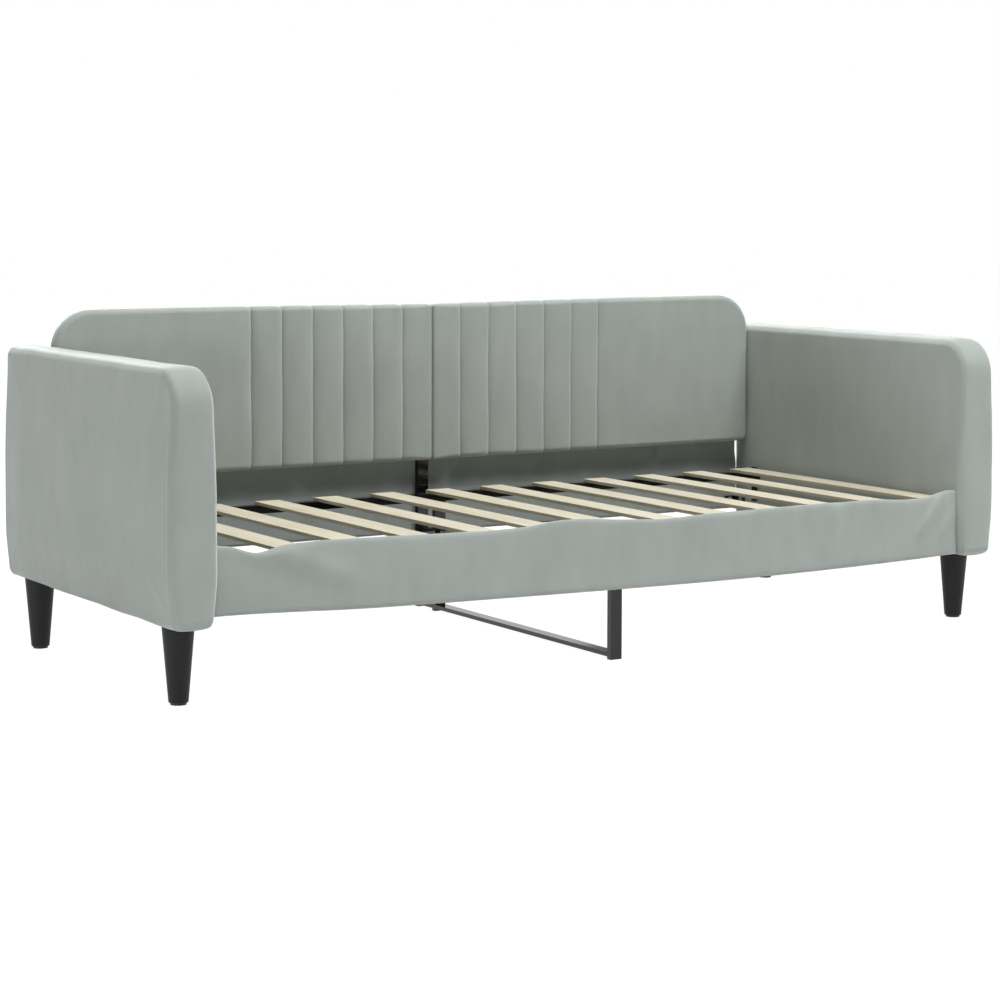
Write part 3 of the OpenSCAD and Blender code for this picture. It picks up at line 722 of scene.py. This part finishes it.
# How far the ends of the back rail reach out towards the arms, below this height and above it
GAP_FOOT = 315 * MM
END_REACH_LOW = 10 * MM
END_REACH_HIGH = 5 * MM
GAP_BLEND = 30 * MM
END_RUN = 60 * MM
RAIL_SKIN = 2 * MM  # how deep a fold may sink before the board inside would show
# Heights of the edges of the front rail's cover along X, in millimetres: its cloth is pulled out of true
FRONT_TOP = [(-1015, 333), (-975, 329), (-910, 312), (-850, 323), (-790, 326), (-600, 325), (-440, 321),
             (-230, 323), (-165, 330), (-100, 329), (0, 322), (120, 315), (240, 318), (490, 321),
             (750, 320), (910, 316), (990, 329), (1015, 327)]
FRONT_FOOT = [(-1015, 185), (-630, 172), (-320, 166), (0, 161), (300, 158), (440, 158),
              (910, 165), (1015, 168)]


def along_curve(x, knots):
    """A smooth curve through the knots, level at each end, for x in metres. Returns metres."""
    at = np.array([k[0] for k in knots]) * MM
    height = np.array([k[1] for k in knots]) * MM
    slope = np.gradient(height, at)
    slope[0] = slope[-1] = 0
    i = np.clip(np.searchsorted(at, x) - 1, 0, len(at) - 2)
    width = at[i + 1] - at[i]
    t = np.clip((x - at[i]) / width, 0, 1)
    return (
        (1 + 2 * t) * (1 - t) ** 2 * height[i]
        + t * (1 - t) ** 2 * width * slope[i]
        + t**2 * (3 - 2 * t) * height[i + 1]
        + t**2 * (t - 1) * width * slope[i + 1]
    )


def fold(u, v, start, end, width, height):
    """A soft straight fold from start to end, which fades out at both ends."""
    start, end = np.array(start), np.array(end)
    line = end - start
    length = np.linalg.norm(line)
    line = line / length
    du, dv = u - start[0], v - start[1]
    along = (du * line[0] + dv * line[1]) / length
    across = -du * line[1] + dv * line[0]
    fade = smooth(along / 0.3) * smooth((1 - along) / 0.3)
    return height * fade * np.exp(-((across / width) ** 2))


# Folds in the front rail's cover: where each starts and ends, its width and its height, in millimetres
FRONT_FOLDS = [
    ((870, 215), (968, 328), 12, 8.0),
    ((935, 190), (1014, 290), 11, 5.0),
    ((585, 180), (645, 330), 22, 6.0),
    ((760, 180), (800, 310), 34, -2.0),
    ((-990, 300), (-760, 215), 34, -2.0),
    ((-930, 335), (-640, 215), 26, 7.0),
    ((-560, 325), (-470, 180), 40, 3.0),
    ((300, 330), (390, 170), 55, 3.0),
]
BACK_FOLDS = [
    ((-860, 225), (-640, 300), 10, 3.0),
    ((30, 200), (110, 415), 12, 5.0),
    ((700, 210), (770, 425), 12, 5.0),
    ((850, 230), (905, 425), 12, 5.0),
    ((-300, 205), (-380, 400), 20, 3.0),
]


def rail_piece(name, node, folds, edges, reach, seed):
    """A rail as a thin pad: u is X, v is Z, and n runs to the front along Y."""
    lo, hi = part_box(node)
    box = ((lo.x, hi.x), (lo.z, hi.z))
    thickness = hi.y - lo.y
    radii = (3 * MM, 3 * MM, 4 * MM, RAIL_END_R)
    half = thickness / 2
    (u_lo, u_hi), (v_lo, v_hi) = box
    pad = Pad(box, radii, thickness, half, [u_lo, u_hi], 14 * MM, 0, reach=reach)
    points = pad.points.copy()
    u, v = points[:, 0], points[:, 1].copy()
    share = (v - v_lo) / (v_hi - v_lo)
    if edges:
        top, foot = edges
        lift = along_curve(u, top) - v_hi
        drop = along_curve(u, foot) - v_lo
        points[:, 1] += lift * smooth(share) + drop * smooth(1 - share)
    total = np.zeros(len(points))
    for (start, end, width, height) in folds:
        total += fold(u, v, np.array(start) * MM, np.array(end) * MM, width * MM, height * MM)
    total += ripple(points, (6, 11, 0), seed) * 1.3 * MM
    total += ripple(points, (17, 7, 0), seed + 1) * 0.5 * MM
    inside = smooth(pad.depth / (12 * MM))
    points[:, 2] += np.maximum(total, -RAIL_SKIN) * inside * (pad.side > 0)
    waves = ripple(points, (13, 0, 0), seed + 2) * 0.9 * MM
    points[:, 1] += waves * smooth((share - 0.6) / 0.4)
    xyz = np.stack([points[:, 0], hi.y - points[:, 2], points[:, 1]], axis=-1)
    hold = np.where(pad.side < 0, 1.0, 0.3)
    hold = np.where(pad.depth < 3 * MM, 1.0, hold)
    return {
        "name": name,
        "stands_for": [node],
        "pad": pad, "seed": seed, "xyz": xyz, "faces": pad.faces, "hold": hold,
        "pressure": 1.0, "slack": 0.001, "cap": 3 * MM, "fill": 0.6,
    }


def front_rail_piece():
    edges = (FRONT_TOP, FRONT_FOOT)
    return rail_piece("front_rail", "front_rail_cover", FRONT_FOLDS, edges, FRONT_REACH, 41)


def back_rail_piece():
    """The back rail: its ends reach out to the arms low down and leave a thin gap above the slats."""
    piece = rail_piece("back_rail", "back_rail_cover", BACK_FOLDS, None, BACK_REACH, 53)
    xyz = piece["xyz"]
    _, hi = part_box("back_rail_cover")
    at_end = smooth((np.abs(xyz[:, 0]) - (hi.x - END_RUN)) / END_RUN)
    low = 1 - smooth((xyz[:, 2] - GAP_FOOT) / GAP_BLEND)
    xyz[:, 0] += np.sign(xyz[:, 0]) * at_end * (END_REACH_LOW * low + END_REACH_HIGH * (1 - low))
    return piece


# ---------------------------------------------------------------- making it all

make_camera()
make_materials()
make_stage()
dress_nodes()

arms = [arm_piece(LEFT, 11), arm_piece(RIGHT, 17)]
backs = [back_piece(LEFT, 23), back_piece(RIGHT, 31)]
rails = [front_rail_piece(), back_rail_piece()]
drape(arms + backs + rails)
for arm in arms:
    sew_arm(arm)
for cover_piece in arms + backs + rails:
    finish_cover(cover_piece)
